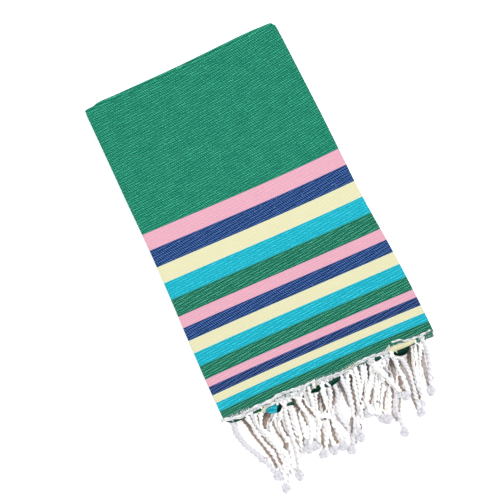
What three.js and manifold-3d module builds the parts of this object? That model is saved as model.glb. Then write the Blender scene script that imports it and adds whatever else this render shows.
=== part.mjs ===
// A folded cotton towel with a striped end and a twisted fringe. Millimetres, +Z up.
// The cloth is one sheet. It is folded back and forth across its width into four plies, and the
// strip that this makes is folded back and forth along its length into four runs. The folds lie
// at the far edge (+Y), and both fringed ends lie at the near edge (-Y).
// The underside of the lowest ply lies flat at z = 0.

import * as THREE from "three";
import { mergeVertices } from "three/addons/utils/BufferGeometryUtils.js";
import Module from "manifold-3d";

const wasm = await Module();
wasm.setup();

// Cloth layers
const clothThickness = 1;
const layerGap = 0.4;
const layerPitch = clothThickness + layerGap;
const plyCount = 4;
const runCount = 4;
const stripHeight = (plyCount - 1) * layerPitch;
const runPitch = plyCount * layerPitch;

// Half the width of the folded strip. Its sides are then drawn in towards the far edge: their x at
// places along the towel.
const halfWidth = 125;
const sides = [
  { y: -195, left: -126.6, right: 133.4 },
  { y: -75, left: -124, right: 129.4 },
  { y: 5, left: -121, right: 125 },
  { y: 194, left: -119.8, right: 119.6 },
];

// Where the sheet turns across its width, from the selvedge of the top ply down. inset is how far
// a turn stays inside the outline, and lag is how far a cut end reaches past the top ply's own.
const sideTurns = [
  { name: "top selvedge", side: 1, inset: 0, lag: 0 },
  { name: "first fold", side: -1, inset: 0, lag: 2.5 },
  { name: "second fold", side: 1, inset: 1.5, lag: 5 },
  { name: "third fold", side: -1, inset: 2, lag: 3 },
  { name: "lowest selvedge", side: 1, inset: 3, lag: 5.5 },
];

// Where the strip turns along its length, from the lower cut end up: y at the left and right side.
// roundLeft and roundRight draw the corners in, and slide moves the strip sideways there.
const lengthTurns = [
  { name: "lower cut end", left: -182, right: -196, roundLeft: 0, roundRight: 0, slide: 1.2 },
  { name: "lower far fold", left: 195.5, right: 194, roundLeft: 2, roundRight: 3, slide: -1 },
  { name: "near fold", left: -190, right: -206, roundLeft: 4, roundRight: 3, slide: -1.4 },
  { name: "upper far fold", left: 199.2, right: 198.2, roundLeft: 2, roundRight: 4.5, slide: 0 },
  { name: "upper cut end", left: -188, right: -200, roundLeft: 0, roundRight: 1, slide: 0 },
];
const cornerLength = 22;

// The stack swells and sinks a little in soft waves, most at its top. share is the wave's height
// as a part of the height that it lifts.
const swellAcross = { share: 0.022, length: 300, shift: 0.15 };
const swellAlong = { share: 0.03, length: 330, shift: 0.1 };

// Steps of the sheet
const plySteps = [0, 0.09, 0.36, 0.64, 0.94, 1];
const runSteps = [0, 0.06, 0.28, 0.5, 0.72, 0.94, 1];
const foldSteps = 4;

// Fringe
const fringeParting = 0.34;
const backingLength = 2.6;
const rootDepth = 1.6;
const rootClear = 13;
const strandCount = 46;
const strandPitch = (2 * halfWidth) / strandCount;
const root = { height: 0.7, width: 2.6 };
const strand = { height: 2.5, width: 3.2, tipWidth: 3.5 };
const strandGap = 0.35;
const plyOrder = [0, 2, 1, 3];
const dropMiddle = { along: 0.5, down: 0.6 };

// One row for each cut end. firstStrand is the first strand's place in pitches from the left,
// restHeight is where the strands lie, dropBy is how far out they have come down to it, and tips
// gives their reach (y) at places across the edge, which a short strand misses by up to miss.
// seed starts the uneven lengths.
const fringes = [
  {
    name: "upper_fringe",
    run: runCount - 1,
    turn: runCount,
    firstStrand: 0.4,
    restHeight: strand.height + strandGap,
    dropBy: 42,
    miss: 14,
    seed: 21,
    tips: [
      { x: -125, y: -288 },
      { x: -112, y: -302 },
      { x: -80, y: -288 },
      { x: -45, y: -266 },
      { x: 0, y: -286 },
      { x: 50, y: -272 },
      { x: 75, y: -292 },
      { x: 125, y: -268 },
    ],
  },
  {
    name: "lower_fringe",
    run: 0,
    turn: 0,
    firstStrand: 0.65,
    restHeight: 0,
    dropBy: 26,
    miss: 10,
    seed: 0,
    tips: [
      { x: -125, y: -248 },
      { x: 0, y: -256 },
      { x: 125, y: -262 },
    ],
  },
];

// The strands lean towards the middle of the edge: sideways reach for each unit of length.
const leans = [
  { x: -125, lean: 0.27 },
  { x: -45, lean: 0.06 },
  { x: 20, lean: -0.1 },
  { x: 125, lean: -0.2 },
];

// Long upper strands reach past the lower ones, and come down to the floor over this stretch.
const stepDown = { from: 66, to: 80 };

const clothColor = 0x2a8d72;
const fringeColor = 0xf4f2f0;
const cottonRoughness = 0.95;

const mix = THREE.MathUtils.lerp;

// Reads a column of a table at a place, which is by x or by y, straight between its rows.
function readTable(rows, axis, place, column) {
  const after = rows.findIndex((row) => row[axis] >= place);
  if (after <= 0) return rows[after < 0 ? rows.length - 1 : 0][column];
  const [a, b] = [rows[after - 1], rows[after]];
  return mix(a[column], b[column], (place - a[axis]) / (b[axis] - a[axis]));
}

// A closed body through sections. Each section is a list of pairs, an upper and a lower point.
function bodyThrough(sections) {
  const pairs = sections[0].length;
  const ringLength = 2 * pairs;
  const points = sections.flatMap((section) => [
    ...section.map((pair) => pair.upper),
    ...section.map((pair) => pair.lower).reverse(),
  ]);
  const index = [];
  const quad = (a, b, c, d) => index.push(a, b, c, a, c, d);
  for (let s = 0; s < sections.length - 1; s++) {
    for (let i = 0; i < ringLength; i++) {
      const next = (i + 1) % ringLength;
      const here = s * ringLength;
      const beyond = here + ringLength;
      quad(here + i, here + next, beyond + next, beyond + i);
    }
  }
  const last = (sections.length - 1) * ringLength;
  for (let i = 0; i < pairs - 1; i++) {
    const under = ringLength - 1 - i;
    quad(i, under, under - 1, i + 1);
    quad(last + i, last + i + 1, last + under - 1, last + under);
  }
  const geometry = new THREE.BufferGeometry().setFromPoints(points);
  geometry.setIndex(index);
  return geometry;
}

// The centre line of the sheet across the strip, with its normal, as a list of points.
function sheetAcross() {
  const line = [];
  const foldReach = layerPitch / 2 + clothThickness / 2;
  const straightEnd = (turn, isSelvedge) =>
    turn.side * (halfWidth - turn.inset - (isSelvedge ? 0 : foldReach));
  for (let ply = 0; ply < plyCount; ply++) {
    const start = sideTurns[ply];
    const end = sideTurns[ply + 1];
    const startX = straightEnd(start, ply === 0);
    const endX = straightEnd(end, ply === plyCount - 1);
    const height = stripHeight / 2 - ply * layerPitch;
    const steps = end.side > 0 ? plySteps : plySteps.map((step) => 1 - step).reverse();
    const normalHeight = -end.side;
    for (const step of steps) {
      line.push({
        x: mix(startX, endX, step),
        height,
        normalX: 0,
        normalHeight,
        lag: mix(start.lag, end.lag, step),
      });
    }
    if (ply === plyCount - 1) break;
    for (let i = 1; i < foldSteps; i++) {
      const angle = Math.PI / 2 - (i / foldSteps) * Math.PI;
      const outward = end.side * Math.cos(angle);
      line.push({
        x: endX + (outward * layerPitch) / 2,
        height: height - layerPitch / 2 + (Math.sin(angle) * layerPitch) / 2,
        normalX: normalHeight * outward,
        normalHeight: normalHeight * Math.sin(angle),
        lag: end.lag,
      });
    }
  }
  return line;
}

// The height of a run's middle, and which way its upper side faces.
const runMiddle = (run) => (clothThickness + stripHeight) / 2 + run * runPitch;
const runFacing = (run) => (run % 2 === 1 ? 1 : -1);

// y of a turn along the length, at a place across the strip, with its corners drawn in.
function turnY(turn, x) {
  const row = lengthTurns[turn];
  const inward = turn % 2 === 1 ? -1 : 1;
  const fromLeft = Math.max(0, 1 - (x + halfWidth) / cornerLength);
  const fromRight = Math.max(0, 1 - (halfWidth - x) / cornerLength);
  const drawnIn = row.roundLeft * fromLeft ** 2 + row.roundRight * fromRight ** 2;
  return mix(row.left, row.right, (x + halfWidth) / (2 * halfWidth)) + inward * drawnIn;
}

// Where the straight part of a run ends at a turn.
const foldRadius = runPitch / 2;
const foldReachY = foldRadius + stripHeight / 2 + clothThickness / 2;
function straightY(turn, x, lag) {
  if (turn === 0 || turn === runCount) return turnY(turn, x) - lag;
  const outward = turn % 2 === 1 ? 1 : -1;
  return turnY(turn, x) - outward * foldReachY;
}

const wave = (swell, place) =>
  swell.share * Math.sin((place / swell.length + swell.shift) * 2 * Math.PI);

// A point of the strip in the towel's own frame: the outline's taper and the swell are added here.
function inTowel(x, y, z) {
  const across = (x + halfWidth) / (2 * halfWidth);
  const left = readTable(sides, "y", y, "left");
  const right = readTable(sides, "y", y, "right");
  const lift = 1 + wave(swellAcross, x) + wave(swellAlong, y);
  return new THREE.Vector3(mix(left, right, across), y, z * lift);
}

// A place along the strip is a function that puts a point (x, height, lag) of its section in space.
function onRun(run, share) {
  const slide = mix(lengthTurns[run].slide, lengthTurns[run + 1].slide, share);
  return (x, height, lag) => {
    const y = mix(straightY(run, x, lag), straightY(run + 1, x, lag), share);
    return inTowel(x + slide, y, runMiddle(run) + runFacing(run) * height);
  };
}

function onFold(turn, angle) {
  const outward = turn % 2 === 1 ? 1 : -1;
  const middle = (runMiddle(turn - 1) + runMiddle(turn)) / 2;
  const { slide } = lengthTurns[turn];
  return (x, height, lag) => {
    const radius = foldRadius + outward * height;
    const y = straightY(turn, x, lag) + outward * radius * Math.cos(angle);
    return inTowel(x + slide, y, middle + radius * Math.sin(angle));
  };
}

function pastEnd(run, turn, distance) {
  const { slide } = lengthTurns[turn];
  return (x, height, lag) => {
    const y = turnY(turn, x) - lag - distance;
    return inTowel(x + slide, y, runMiddle(run) + runFacing(run) * height);
  };
}

// The section of the folded sheet at a place along the strip.
function sectionAt(place) {
  const half = clothThickness / 2;
  return sheetAcross().map((p) => ({
    upper: place(p.x + half * p.normalX, p.height + half * p.normalHeight, p.lag),
    lower: place(p.x - half * p.normalX, p.height - half * p.normalHeight, p.lag),
  }));
}

function clothGeometry() {
  const sections = [];
  for (let run = 0; run < runCount; run++) {
    for (const share of runSteps) sections.push(sectionAt(onRun(run, share)));
    if (run === runCount - 1) break;
    for (let i = 1; i < foldSteps; i++) {
      const angle = -Math.PI / 2 + (i / foldSteps) * Math.PI;
      sections.push(sectionAt(onFold(run + 1, angle)));
    }
  }
  return bodyThrough(sections);
}

// The narrow strip that the strands of one cut end grow from, parted from the cloth.
function backingGeometry(fringe) {
  const near = pastEnd(fringe.run, fringe.turn, fringeParting);
  const out = pastEnd(fringe.run, fringe.turn, fringeParting + backingLength);
  const sections = [sectionAt(near), sectionAt(out)];
  return bodyThrough(fringe.run === 0 ? sections.reverse() : sections);
}

// A number from 0 to 1 that looks random and is the same each time.
const scatterStep = 12.9898;
const scatterSpread = 43758.5453;
function scatter(seed) {
  const value = Math.sin(seed * scatterStep) * scatterSpread;
  return value - Math.floor(value);
}

// How far the sheet's cut end lags at a place on a ply.
function lagAt(ply, x) {
  const start = sideTurns[ply];
  const end = sideTurns[ply + 1];
  return mix(start.lag, end.lag, (end.side * x + halfWidth) / (2 * halfWidth));
}

// The heights of one strand along its length: a flat root inside the backing, which stays level
// over the plies below, then a drop, and a level stretch. out is the distance from the backing.
function strandPlaces(fringe, rootZ, clear, fullLength) {
  const rootLow = rootZ - root.height / 2;
  const onLowerStrands = fringe.restHeight > 0;
  const reachesFloor = onLowerStrands && fullLength > stepDown.to;
  const length = onLowerStrands && !reachesFloor ? Math.min(fullLength, stepDown.from) : fullLength;
  const middleOut = mix(clear, fringe.dropBy, dropMiddle.along);
  const middleLow = mix(rootZ, fringe.restHeight, dropMiddle.down);
  const places = [
    { out: -rootDepth, low: rootLow, ...root },
    { out: clear, low: rootLow, height: root.height, width: strand.width },
    { out: middleOut, low: middleLow, ...strand },
    { out: fringe.dropBy, low: fringe.restHeight, ...strand },
  ];
  if (reachesFloor) {
    places.push({ out: stepDown.from, low: fringe.restHeight, ...strand });
    places.push({ out: stepDown.to, low: 0, ...strand });
  }
  const tipLow = reachesFloor ? 0 : fringe.restHeight;
  places.push({ out: length, low: tipLow, height: strand.height, width: strand.tipWidth });
  return places;
}

// One strand with a section of 4 sides. Its roots are dealt out over the plies by plyOrder.
function strandGeometry(fringe, number) {
  const ply = plyOrder[number % plyOrder.length];
  const x = -halfWidth + (number + fringe.firstStrand) * strandPitch;
  const height = stripHeight / 2 - ply * layerPitch;
  const backingEdge = pastEnd(fringe.run, fringe.turn, fringeParting + backingLength);
  const start = backingEdge(x, height, lagAt(ply, x));
  const lean = readTable(leans, "x", x, "lean");
  const reach = readTable(fringe.tips, "x", x, "y") + fringe.miss * scatter(number + fringe.seed);
  const clear = rootClear - (turnY(fringe.turn, x) - start.y);
  const places = strandPlaces(fringe, start.z, clear, start.y - reach);
  const sections = places.map(({ out, low, height: rise, width }) => {
    const middleX = start.x + lean * Math.max(0, out - clear / 2);
    const corner = (side, z) => new THREE.Vector3(middleX + (side * width) / 2, start.y - out, z);
    return [1, -1].map((side) => ({ upper: corner(side, low + rise), lower: corner(side, low) }));
  });
  return bodyThrough(sections);
}

function solidFrom(geometry) {
  const bare = geometry.clone();
  bare.deleteAttribute("normal");
  bare.deleteAttribute("uv");
  const merged = mergeVertices(bare, 1e-4);
  const mesh = new wasm.Mesh({
    numProp: 3,
    vertProperties: new Float32Array(merged.attributes.position.array),
    triVerts: new Uint32Array(merged.index.array),
  });
  return new wasm.Manifold(mesh);
}

function geometryFrom(solid) {
  const mesh = solid.getMesh();
  const geometry = new THREE.BufferGeometry();
  const positions = new THREE.BufferAttribute(new Float32Array(mesh.vertProperties), 3);
  geometry.setAttribute("position", positions);
  geometry.setIndex(new THREE.BufferAttribute(new Uint32Array(mesh.triVerts), 1));
  geometry.computeVertexNormals();
  return geometry;
}

function fringeGeometry(fringe) {
  let solid = solidFrom(backingGeometry(fringe));
  for (let number = 0; number < strandCount; number++) {
    solid = solid.add(solidFrom(strandGeometry(fringe, number)));
  }
  return geometryFrom(solid);
}

function fabric(color) {
  return new THREE.MeshStandardMaterial({ color, roughness: cottonRoughness, metalness: 0 });
}

function namedMesh(name, geometry, color) {
  const mesh = new THREE.Mesh(geometry, fabric(color));
  mesh.name = name;
  return mesh;
}

const group = new THREE.Group();
group.add(namedMesh("cloth", clothGeometry(), clothColor));
for (const fringe of fringes) {
  group.add(namedMesh(fringe.name, fringeGeometry(fringe), fringeColor));
}

// The origin is on the floor, under the middle of the whole outline with its fringe.
const outline = new THREE.Box3().setFromObject(group);
const middle = outline.getCenter(new THREE.Vector3());
group.position.set(-middle.x, -middle.y, 0);

export default group;
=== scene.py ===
"""Folded turkish towel: flat-woven cotton, folded across and along, with a twisted and knotted fringe.

The towel's own frame is in millimetres: x across it, +y towards the folded edge, z up. The folds repeat
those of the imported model, with finer steps.
"""

import math

import bpy
import numpy as np
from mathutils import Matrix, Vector


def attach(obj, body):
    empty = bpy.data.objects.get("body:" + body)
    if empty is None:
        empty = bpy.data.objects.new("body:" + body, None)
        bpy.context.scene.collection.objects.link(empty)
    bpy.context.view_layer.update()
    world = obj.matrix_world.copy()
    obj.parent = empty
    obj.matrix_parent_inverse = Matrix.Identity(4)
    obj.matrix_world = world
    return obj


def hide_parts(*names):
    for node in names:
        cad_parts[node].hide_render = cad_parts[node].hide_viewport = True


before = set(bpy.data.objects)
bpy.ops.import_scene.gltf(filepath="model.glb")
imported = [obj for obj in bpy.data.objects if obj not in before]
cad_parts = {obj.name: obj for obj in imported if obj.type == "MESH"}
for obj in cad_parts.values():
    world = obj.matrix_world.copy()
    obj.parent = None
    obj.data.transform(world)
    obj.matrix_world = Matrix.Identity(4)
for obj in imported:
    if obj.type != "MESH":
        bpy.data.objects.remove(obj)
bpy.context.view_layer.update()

MM = 0.001
SHIFT = np.array([-3.4388, 49.2985, 0.0])  # towel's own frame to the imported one

# Sheet and folds
SHEET = 1.0
LAYER_PITCH = 1.4
PLIES = 4
RUNS = 4
STRIP_HEIGHT = (PLIES - 1) * LAYER_PITCH
RUN_PITCH = PLIES * LAYER_PITCH
FOLD_RADIUS = RUN_PITCH / 2
FOLD_REACH = FOLD_RADIUS + STRIP_HEIGHT / 2 + SHEET / 2
HALF_WIDTH = 125.0
# The sides' x at places along the towel: y, left, right
SIDES = [
    (-195, -126.6, 133.6), (-168, -126.5, 133.2), (-148, -126.2, 132.7), (-103, -124.9, 130.8),
    (-80, -124.1, 129.4), (-55, -123.0, 127.5), (-15, -121.6, 125.3), (25, -120.7, 124.6),
    (75, -120.6, 123.6), (125, -120.2, 122.0), (170, -119.9, 120.4), (194, -119.8, 119.4),
]
# Turns of the sheet across the strip: side, inset, lag
SIDE_TURNS = [(1, 0, 0), (-1, 0, 2.5), (1, 1.5, 5), (-1, 2, 3), (1, 3, 5.5)]
# Turns of the strip along its length, lowest first: left y, right y, left and right rounding, slide,
# and how much narrower each side is
LENGTH_TURNS = [
    (-182, -196, 0, 0, 1.2, 2.6),
    (195.5, 194, 2, 3, -1, 2.4),
    (-190, -206, 4, 3, -1.4, 2.2),
    (199.2, 198.2, 0, 0, 0, 0),
    (-189.5, -200.5, 0, 0, 0, 0),
]
CORNER = 22.0
# The far edge and the frayed end as they lie: x across the strip, and y
FAR_EDGE = [
    (-125, 196.4), (-122, 197.3), (-117, 197.2), (-112.5, 197.5), (-108.5, 198.6), (-104, 199.1),
    (-94, 198.7), (-52, 197.9), (0, 197.3), (52, 198.0), (84, 198.4), (99, 198.2), (108.5, 197.6),
    (117, 197.4), (120.5, 197.1), (123, 195.8), (125, 192.3),
]
CUT_EDGE = [
    (-125, -191.5), (-105, -192.5), (-85, -194.5), (-60, -196), (-42, -196), (-24, -195),
    (-8, -196.6), (12, -199), (36, -197.5), (56, -199), (86, -199.6), (106, -201), (116, -201.5),
    (125, -202.5),
]
CUT_WAVE_DEPTH = 13.0
SWELL_X = (0.022, 300.0, 0.15)
SWELL_Y = (0.03, 330.0, 0.1)
MIDDLE_LAG = 2.0
# Steps across a hidden ply, the top ply and a side turn, and along each run and an end turn
PLAIN_STEPS, TOP_STEPS, TURN_STEPS = 14, 64, 8
RUN_STEPS = (16, 16, 16, 110)
FOLD_STEPS = 14
# Where the plies lie at the cut end; the y at which each run's taper and swell are read there
ROOT_Y = {0: -190.0, RUNS - 1: -197.0}
LOWEST_ROOT = 1.5
# Lips of lower plies: steps, thickness, how deep they start and drop, and weft on each side of the middle
LIP_STEPS, LIP_ROWS = 14, 5
LIP_THICKNESS, LIP_SINK, LIP_DROP, LIP_WEFT = 0.7, 0.25, 0.9, 2.0
LIP_FROM_END = 10.0  # past the reach of the pale ticks

# Bands of the weave: how far each reaches from the cut end, and its colour
BANDS = [
    (11.1, "green_low"), (21.4, "turquoise"), (30.9, "cream"), (41.3, "navy_low"), (50.8, "pink"),
    (67.1, "green_band"), (83.3, "turquoise"), (98.6, "cream"), (114.4, "navy"), (128.4, "pink"),
    (149.4, "green_band"), (170.0, "turquoise"), (189.8, "cream"), (210.6, "navy"), (230.4, "pink"),
    (800.0, "field"),
]
# The weft on the top run: where it starts, its slant, and how it sags and bends, with its change along y
WEFT_START = 194.6
WEFT_SLANT, WEFT_TURN = 0.0297, 0.0000125
WEFT_REACH = 95.0
WEFT_SAG = (0.711, 0.0093)
WEFT_BEND = (0.385, 0.0015)
FIT_FROM, FIT_LENGTH = 380.0, 360.0  # before the top run, the weave shifts to meet its weft
# Each yarn as seen: sRGB, its contrast, its tone at the edge of a band, and how strong each repeat is
YARN_TONES = {
    "field": ((42, 140, 112), 0.46, (48, 124, 102), (0.185, 0.235, 0.105)),
    "green_band": ((46, 127, 102), 0.48, (42, 121, 101), (0.25, 0.25, 0.19)),
    "green_low": ((43, 118, 95), 0.5, (38, 118, 100), (0.31, 0.36, 0.19)),
    "pink": ((243, 182, 201), 0.08, (236, 176, 206), (0.2, 0.14, 0.11)),
    "navy": ((47, 77, 129), 0.62, (52, 76, 126), (0.27, 0.43, 0.22)),
    "navy_low": ((45, 69, 116), 0.64, (51, 74, 122), (0.36, 0.48, 0.31)),
    "cream": ((243, 239, 197), 0.06, (231, 246, 219), (0.155, 0.13, 0.09)),
    "turquoise": ((42, 190, 212), 0.23, (48, 182, 200), (0.175, 0.09, 0.11)),
}
# Repeats of the weave that show, as cycles a millimetre across and along
LATTICE = [(0.0, 0.377), (0.407, 0.175), (0.044, -0.245)]
PATTERN_MIDDLE = 0.45
PATTERN_MEAN = 0.25
# How far from a band's edge its edge tone fades out and is whole; the same for pale ticks at the cut end
EDGE_WIDTH = (1.5, 0.5)
TICK_REACH = (5.5, 0.4)
WORN_TONE = (150, 152, 138)
TICK_TONE = (214, 226, 220)
SPECK_TONE = (214, 238, 228)
LIGHT_LEVEL = 1.38  # what a level white surface gets; yarn tones are as seen in that light

# Fringe yarn by tone, as seen and with the light it gets: brownish and pale grey, which are painted shade
# of the white cotton, then white, and pale green
THREAD_TONES = [
    (0.0, (160, 143, 131), 1.1), (0.45, (226, 225, 232), 1.2),
    (0.9, (253, 251, 250), 1.05), (1.0, (228, 234, 190), 1.2),
]
TONE_SCALE = 0.9  # so that a tone of 1 in the tables is white, and 1.11 pale green
RADIUS = 3.6
WAIST = 0.5  # how thick a strand is across its two yarns, as a share of along them
NEST = 0.55  # a strand sinks this far between those it rests on
STEP = 1.2
ROOT_LENGTH, ROOT_SHARE = 7.0, 0.62  # a strand grows from this share of its thickness
UNEVEN, UNEVEN_TURN = 0.05, 0.35
TWIST_LENGTH = (11.0, 13.5)
THINNEST = 1.2
GROOVE_COVER = 0.85  # the strands beside a groove hang over it by this much
# a knot's pale grey tone is painted shade of the white cotton
KNOT_SIZE, KNOT_THREAD, KNOT_TONE = 1.2, 2.8, 0.48
KNOT_REST, KNOT_STAMP, KNOT_HEIGHTS = 2.4, 2.6, (3.2, 12.0)
KNOT_AHEAD, PAST_KNOT = 1.5, 3.0
# Loose ends at a strand's tip, and how they spread and how long they are with and without a knot
LOOSE_ENDS, LOOSE_RADII = 9, (0.6, 0.5, 0.42, 0.3)
KNOTTED_SPREAD, KNOTTED_REACH = 0.6, (2.0, 4.5)
OPEN_SPREAD, OPEN_REACH = 0.4, (5.0, 9.0)
FAN_ENDS = 4
# A groove's strand: how far it reaches under its neighbours, its radii, root, rest and sinking
GROOVE_SPARE, GROOVE_RADII = 0.9, (1.3, 4.5)
GROOVE_ROOT, GROOVE_REST, GROOVE_SINK = 2.5, 1.2, 0.4
# Loose yarns: their wobble, radii and height on the cloth, and how they come down past its end
YARN_WOBBLE, YARN_RADII, YARN_HEIGHT = 0.4, (0.62, 0.8), 0.45
YARN_DROP, DROP_FROM, DROP_LENGTH = 1.2, -200.0, 8.0
STRAY_RADII, STRAY_SPAN = (0.4, 0.42, 0.35, 0.2), (-119, 122)
LOWER_STRANDS, HIDDEN_STRANDS, STRAY_ENDS = 38, 9, 150
# Strands that follow a course that shows: share of it kept, least points, how far aside, radius,
# tones of strand and fan, width of the fan. Tones below 1 are painted shade: greyer for the lower fringe,
# under the upper one
LOWER_LOOK = ((0.62, 0.85), 4, (1.8, 3.2), 2.2, (0.85, 0.6), 2.6)
HIDDEN_LOOK = ((0.6, 0.8), 5, (2.0, 3.4), 2.3, (0.9, 0.9), 3.0)
SHOWN_FAN = (0.9, 2.6)

# The camera looks straight down; the light comes from the photo's upper right
CAMERA_SPOT = (-19.94, 21.0)
CAMERA_TURN = math.radians(-25.25)
CAMERA_AWAY = 2.5
TOP_HEIGHT = 0.0226
FRAME_WIDTH = 0.5708
SENSOR = 36
LIGHT_STRENGTH, LIGHT_SPREAD, LIGHT_TILT = 1.41, math.radians(14), math.radians(32)
LIGHT_FROM = (0.75, 0.66)
FLOOR_HALF, FLOOR_GLOW = 8.0, 0.42


def table(text):
    """Rows of numbers and courses: places of x and y in millimetres, y counted towards the fringe."""
    rows = []
    for row in text.split(";"):
        head, *courses = row.split("|")
        courses = [np.array([place.split(",") for place in course.split()], float) for course in courses]
        for course in courses:
            course[:, 1] *= -1
        rows.append([float(value) for value in head.split()] + courses)
    return rows


# The strands of the upper fringe: order of laying, tone (below 1 a painted shade of the white cotton), knot
# or not, and the course
STRANDS = table(
    """
0 0.5 1 | -116.5,186.5 -117.5,194 -118.5,203.5 -120,212 -118.5,221.5 -115.5,231.5 -111,240.5 -106.5,250
    -103,259.5 -100,269 -98.5,275.5;
1 0.8 1 | -100.5,199.5 -101,210.5 -99,223 -95.5,237.5 -92.5,250 -91,262.5 -91,273.5 -92.5,284.5 -95,292.5;
0 0.9 0 | -89.5,200.5 -92.5,212 -92.5,222.5 -89,234 -86,247 -86,259.5 -87,270.5 -87.5,279;
1 1 0 | -81,201 -89,210 -90,220.5 -87,232.5 -84,245 -82,257.5 -82,268 -83.5,276;
2 1 0 | -61.5,208.5 -71,212 -79.5,219.5 -83,229.5 -81.5,240 -79.5,251.5 -79,261.5 -79.5,270.5;
1 1 0 | -56.5,208.5 -65.5,214.5 -70,224 -70.5,235 -70.5,246.5 -72,257.5 -74.5,267.5 -77,276.5;
2 0.8 1 | -54,208.5 -59.5,217.5 -62,228 -63,238.5 -63.5,250 -65.5,260 -68,270.5 -71,279.5 -74.5,286.5;
0 1 0 | -49,208.5 -51,219 -53.5,229 -55,240 -57,250.5 -59.5,260.5 -64,270 -69.5,279;
1 1 1 | -43.5,207.5 -42.5,216.5 -44.5,226 -46.5,236 -49,246.5 -50,256.5;
2 1 1 | -39,206.5 -38.5,216 -37,226.5 -37.5,238 -41,248 -45.5,255.5 -52.5,261.5;
3 1 0 | -34,204 -34.5,215.5 -31.5,225.5 -26,233 -19,239 -14,245 -16,254.5;
0 1 1 | -23,204.5 -25,214.5 -27.5,225 -28.5,236 -31,246 -37,256 -44,263;
1 1 0 | -15.5,205 -19,215 -22.5,225 -25.5,234.5 -29,244.5 -35.5,255.5 -38,263;
2 1 1 | -7,205.5 -11.5,216 -15,225.5 -17.5,236 -20,247.5 -26,257.5 -32,267 -38.5,275.5;
0 1 1 | -4.5,209 -9.5,222 -14,234 -17.5,245 -20.5,256 -23.5,267.5 -26.5,276.5;
1 0.8 1 | -0.5,206 -2.5,217.5 -7,227 -10,237 -12.5,247 -14,258 -13.5,268.5 -15,276.5;
0 0.7 0 | 4,206.5 4.5,217 1,227 -3,235 -4,245 -2.5,255.5 -1,265.5 -2,276.5;
2 0.7 1 | 16,203.5 15.5,214.5 15.5,226 14,237 11,248 6,258.5 1.5,269 -3,278.5 -7.5,285;
0 1 0 | 25.5,204 19.5,214 16.5,226.5 14,239.5 10.5,252 6.5,263.5 1.5,274;
1 1 1 | 28,204 26.5,216 25,227 22.5,237 19,248 13,258 7,268;
2 0.9 1 | 34.5,204.5 32.5,216.5 29.5,227.5 26,238.5 21,249 16,259.5 11.5,269 8,276;
0 1 1 | 43,205 39.5,214.5 35,225 29,235 24.5,244.5 24.5,254.5;
1 1 0 | 53.5,204.5 49.5,215.5 42.5,225 35.5,234.5 30,243 29,254 32,260.5;
2 1 1 | 58,205.5 55,217 51.5,227.5 45.5,237.5 40.5,248 37.5,259.5 39,267.5;
0 1 0 | 62.5,206.5 61,218.5 58,229.5 54,240.5 48,250.5 43.5,261 42.5,270.5;
1 1 1 | 68,209 67,221 64,232.5 60.5,243.5 54.5,253.5 50,262.5 45,270.5;
4 1 1 | 54,201 57,210 62,221.5 66.5,233.5 70,244.5 73,254.5;
2 0.6 1 | 73.5,205 69.5,216 67.5,228 67,240 64,251.5 60,263.5 57.5,274 56.5,283.5 55.5,292;
1 1 0 | 79,204 80.5,214.5 80,226 80,237.5 79.5,248.5 78,256;
2 0.7 1 | 85,204.5 88,214.5 89.5,225.5 89,236.5 86.5,247 85,259 82.5,269 82,279;
0 1 1 | 106,209 102,220 98,231 95.5,242 92.5,253.5 90,264 86.5,271;
1 1 0 | 111,209 110,218.5 106.5,229.5 101.5,240 96.5,250.5 93,260;
2 0.6 1 | 118,196.5 118,201.5 119,210.5 118,220.5 116,230 112.5,240.5 108.5,250 105,258.5 103.5,262.5
    """
)
# Loose yarns along the cut end: how many together, how wide they lie, tone, course
YARNS = table(
    """
6 1.5 1 | -129.5,191 -123.5,192 -112.5,195 -104,196.5 -98.5,195 -94,194 -86.5,193.5 -79,194 -69,194
    -59.5,192.5 -51.5,192;
3 0.8 1 | -54,192 -43,193 -35,194 -28,195 -20,195 -12.5,194.5;
3 0.8 1 | -76,198.5 -64.5,198 -46.5,200 -33.5,199.5 -27.5,197;
5 1.3 1 | -13.5,197.5 -4.5,197 4.5,198.5 17,199.5 29.5,199.5 40.5,197.5 52,197.5 62.5,198.5 73.5,200 81,195;
3 0.9 1 | 52,200.5 55,204 62,206 69.5,205.5 74.5,203.5;
3 0.9 1 | 74,202 76.5,206.5 82,211 90,213.5;
3 0.8 1 | 84.5,193 90.5,193 96,195 99.5,197.5 108,198.5 115.5,199.5 123,199 130.5,199;
2 0.7 1.11 | -88,200 -83.5,200.5 -77.5,198.5 -72,198 -67.5,196.5;
2 0.6 1.11 | -19.5,202 -13.5,200 -9,198;
2 0.8 1.11 | 22.5,198.5 30,198.5 37.5,198.5 41.5,198;
2 0.8 1 | -52,192.5 -43.5,194 -35.5,195;
5 1.8 1 | -102,194.5 -97.5,196 -92.5,195.5;
5 2.6 1 | -35.5,198.5 -31.5,197 -26,196.5;
3 1.5 1 | -39,203 -34,200.5 -28.5,196.5
    """
)
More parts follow.
